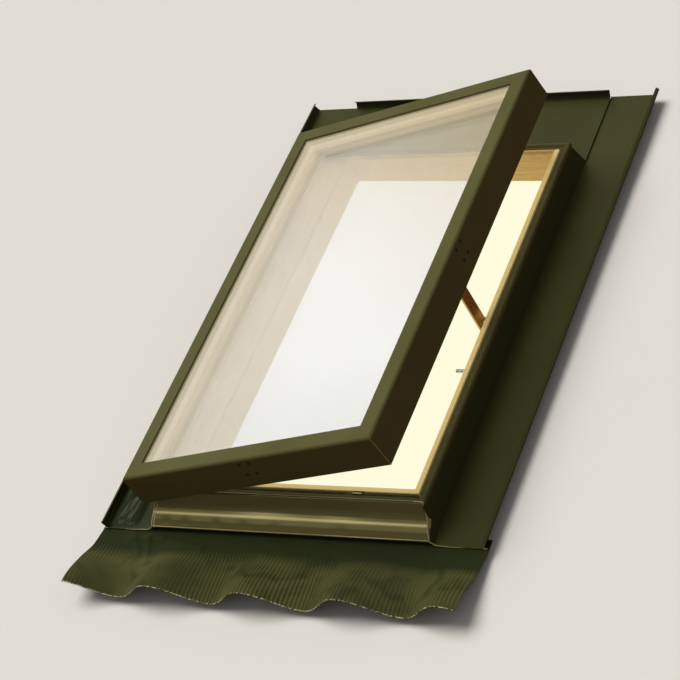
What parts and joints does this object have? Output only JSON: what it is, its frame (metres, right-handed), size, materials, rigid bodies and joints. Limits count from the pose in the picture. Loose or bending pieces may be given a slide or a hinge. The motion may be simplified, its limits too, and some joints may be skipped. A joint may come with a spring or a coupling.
{
  "type": "roof skylight",
  "caption": "Exit skylight for a tiled roof: side-hung double-glazed sash on a timber frame, held open by a stay arm, with side gutters, top flashing, moulding and waved apron.",
  "frame": {"origin": "middle of the timber frame's plan on its underside", "axes": "+X along the eave to the opening side, +Y up the slope, +Z square to the roof"},
  "size_m": [0.64, 1.062, 0.2164],
  "materials": {
    "pine": "clear lacquered pine",
    "sash_cladding": "satin olive brown coating",
    "frame_cover": "satin olive brown coating",
    "flashing": "coated sheet",
    "moulding": "gloss coated sheet",
    "apron": "pleated coated foil",
    "bright_metal": "bright zinc plated",
    "zinc_steel": "zinc plated",
    "hinge_steel": "zinc plated",
    "stay_steel": "polished flat steel",
    "rubber": "extruded rubber",
    "spacer": "warm edge spacer",
    "glass": "clear float glass"
  },
  "bodies": {
    "frame": {"frame_timber_left": "pine", "frame_timber_right": "pine", "frame_timber_top": "pine", "frame_timber_bottom": "pine", "cap_left": "frame_cover", "cap_right": "frame_cover", "cap_top": "frame_cover", "cap_bottom": "frame_cover", "cap_clip": "bright_metal", "flashing_side_left": "flashing", "flashing_side_right": "flashing", "flashing_top": "flashing", "moulding_front": "moulding", "apron": "apron", "peg_open": "bright_metal", "peg_closed": "bright_metal", "hinge_frame_screws": "zinc_steel", "angle_screws": "zinc_steel", "angle_left_lower": "zinc_steel", "angle_left_upper": "zinc_steel", "angle_right_lower": "zinc_steel", "angle_right_upper": "zinc_steel", "hinge_frame_leaf_lower": "hinge_steel", "hinge_frame_leaf_upper": "hinge_steel", "hinge_pin_lower": "zinc_steel", "hinge_pin_upper": "zinc_steel"},
    "sash": {"sash_cladding_left": "sash_cladding", "sash_cladding_right": "sash_cladding", "sash_cladding_top": "sash_cladding", "sash_cladding_bottom": "sash_cladding", "sash_timber_left": "pine", "sash_timber_right": "pine", "sash_timber_top": "pine", "sash_timber_bottom": "pine", "gasket": "rubber", "glass_outer": "glass", "glass_inner": "glass", "spacer": "spacer", "glazing_tape": "rubber", "seal": "rubber", "stay_bracket": "stay_steel", "stay_pivot": "stay_steel", "stay_screws": "zinc_steel", "hinge_sash_screws": "zinc_steel", "hinge_sash_leaf_lower": "hinge_steel", "hinge_sash_leaf_upper": "hinge_steel"},
    "arm": {"stay_arm": "stay_steel"}
  },
  "joints": [
    {"name": "sash_hinge", "type": "hinge", "parent": "frame", "child": "sash", "pos_m": [-0.2344, 0, 0.0337], "axis": [0, -1, 0], "range_deg": [-13.77, 66.23]},
    {"name": "arm_rivet", "type": "hinge", "parent": "sash", "child": "arm", "pos_m": [0.17144, -0.0022, 0.15334], "axis": [-0.9713, 0, -0.238], "range_deg": [-5.9, 81.5]}
  ]
}
